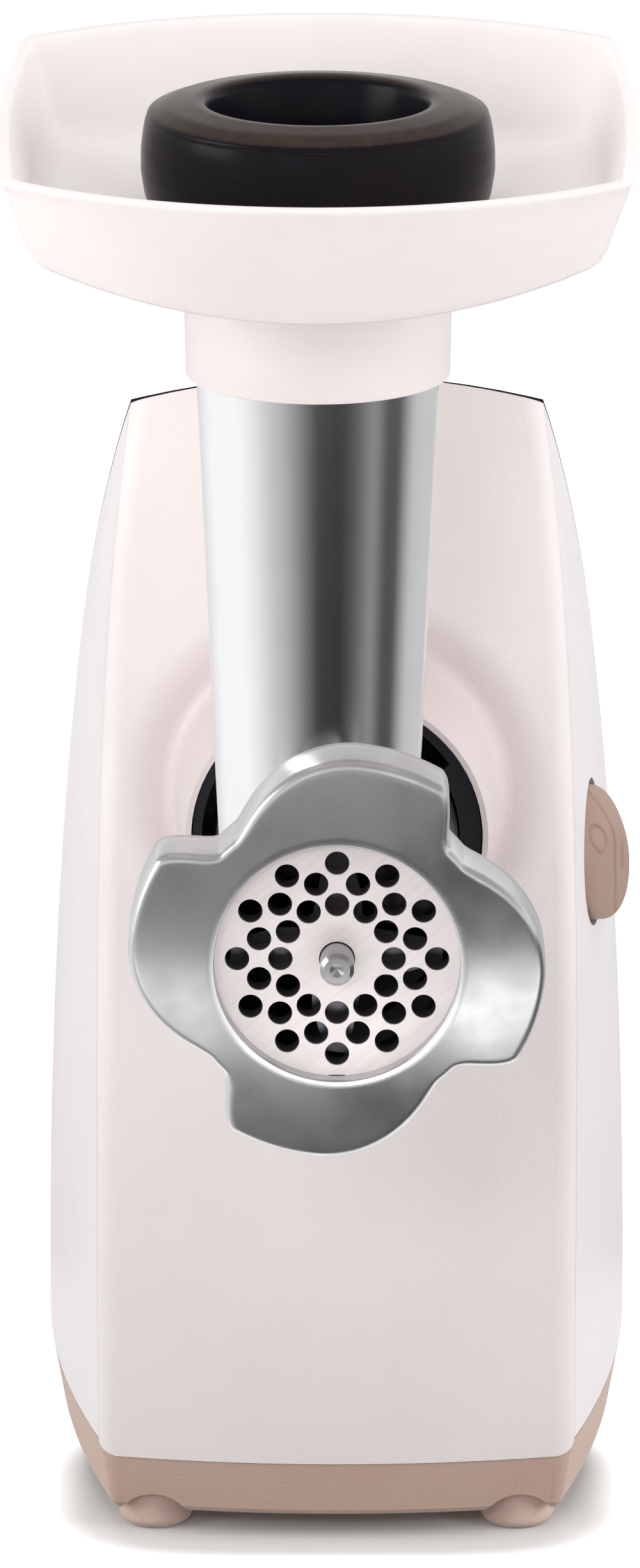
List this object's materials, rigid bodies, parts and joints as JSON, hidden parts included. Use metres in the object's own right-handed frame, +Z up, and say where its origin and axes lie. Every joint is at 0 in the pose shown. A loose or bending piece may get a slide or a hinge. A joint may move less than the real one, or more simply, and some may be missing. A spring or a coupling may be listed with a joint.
{
  "type": "electric meat grinder",
  "caption": "Upright electric meat grinder: white housing on a tan base, cast feed tube and screw ring with a drilled plate, white tray on top and a black hollow pusher.",
  "frame": {"origin": "floor under the middle of the part's bounding box; the auger lies in the plane X = 0", "axes": "+X to the switch side, +Y from the grinding plate towards the back, +Z up"},
  "size_m": [0.1363, 0.3141, 0.3446],
  "materials": {
    "white_shell": "satin white moulding",
    "tan_base": "fine-grained tan moulding",
    "tan_foot": "soft tan pad",
    "dark_cover": "dark grey moulding",
    "black_hub": "black moulding",
    "black_pusher": "glossy black",
    "cast_head": "polished cast aluminium",
    "plate_steel": "ground steel",
    "plated_sheet": "zinc plated sheet",
    "laminations": "stacked steel sheets",
    "copper": "enamelled copper",
    "bronze": "sintered bronze",
    "gear_nylon": "natural nylon",
    "seal_rubber": "soft seal"
  },
  "bodies": {
    "motor_unit": {"base": "tan_base", "feet": "tan_foot", "front_panel": "white_shell", "left_shell": "white_shell", "right_shell": "white_shell", "back_cover": "dark_cover", "cord_gland": "black_hub", "hub_socket": "black_hub", "shaft_seal": "seal_rubber", "spindle_bushes": "bronze", "gear_plate_front": "plated_sheet", "gear_plate_rear": "plated_sheet", "frame_pillars": "plated_sheet", "frame_screws": "plate_steel", "gear_axles": "plate_steel", "motor_bearings": "plate_steel", "stator_core": "laminations", "field_coils": "copper", "motor_spacers": "plate_steel", "motor_bolts": "plate_steel", "end_bracket": "plated_sheet", "brush_holders": "black_hub", "carbon_brushes": "seal_rubber", "motor_cradle": "black_hub", "cradle_screws": "plate_steel", "capacitor": "black_hub", "switch_housing": "black_hub", "switch_pin": "plate_steel"},
    "drive_line": {"output_gear": "gear_nylon", "drive_spindle": "plate_steel", "auger": "cast_head", "knife": "plate_steel"},
    "middle_stage": {"middle_gear": "gear_nylon"},
    "first_stage": {"first_gear": "gear_nylon"},
    "rotor": {"motor_pinion": "plate_steel", "rotor_shaft": "plate_steel", "rotor_core": "laminations", "rotor_windings": "copper", "commutator": "copper", "cooling_fan": "black_hub"},
    "rocker": {"switch_rocker": "tan_base"},
    "release": {"release_button": "dark_cover"},
    "head": {"head_casting": "cast_head", "head_bush": "bronze"},
    "plate_carrier": {"plate": "plate_steel"},
    "ring": {"fixing_ring": "cast_head"},
    "tray_body": {"tray": "white_shell"},
    "pusher_body": {"pusher": "black_pusher"}
  },
  "joints": [
    {"name": "auger_spin", "type": "hinge", "parent": "motor_unit", "child": "drive_line", "pos_m": [0, 0.02, 0.175], "axis": [0, 1, 0], "continuous": true},
    {"name": "middle_spin", "type": "hinge", "parent": "motor_unit", "child": "middle_stage", "pos_m": [0, 0.03, 0.13437], "axis": [0, 1, 0], "continuous": true},
    {"name": "first_spin", "type": "hinge", "parent": "motor_unit", "child": "first_stage", "pos_m": [0, 0.035, 0.10437], "axis": [0, 1, 0], "continuous": true},
    {"name": "rotor_spin", "type": "hinge", "parent": "motor_unit", "child": "rotor", "pos_m": [0, 0.09, 0.08238], "axis": [0, 1, 0], "continuous": true},
    {"name": "switch_rock", "type": "hinge", "parent": "motor_unit", "child": "rocker", "pos_m": [0.05071, 0.0409, 0.14985], "axis": [-0.0691, 0.0097, 0.9976], "range_deg": [0, 8]},
    {"name": "release_press", "type": "slide", "parent": "motor_unit", "child": "release", "axis": [0, 1, 0], "range_m": [0, 0.004], "stiffness_N_per_m": 400, "springref_m": -0.002},
    {"name": "head_turn", "type": "hinge", "parent": "motor_unit", "child": "head", "pos_m": [0, -0.02, 0.175], "axis": [0, 1, 0], "range_deg": [0, 40]},
    {"name": "ring_turn", "type": "hinge", "parent": "plate_carrier", "child": "ring", "pos_m": [0, -0.108, 0.175], "axis": [0, -1, 0], "range_deg": [0, 1080]},
    {"name": "plate_slide", "type": "slide", "parent": "head", "child": "plate_carrier", "axis": [0, -1, 0], "range_m": [0, 0.009]},
    {"name": "tray_lift", "type": "slide", "parent": "head", "child": "tray_body", "axis": [0, 0, 1], "range_m": [0, 0.03]},
    {"name": "pusher_lift", "type": "slide", "parent": "tray_body", "child": "pusher_body", "axis": [0, 0, 1], "range_m": [0, 0.13]}
  ],
  "couplings": [
    {"joint": "middle_spin", "follows": "auger_spin", "ratio": -4},
    {"joint": "first_spin", "follows": "auger_spin", "ratio": 16},
    {"joint": "rotor_spin", "follows": "auger_spin", "ratio": -72},
    {"joint": "plate_slide", "follows": "ring_turn", "m_per_rad": 0.00047746}
  ]
}
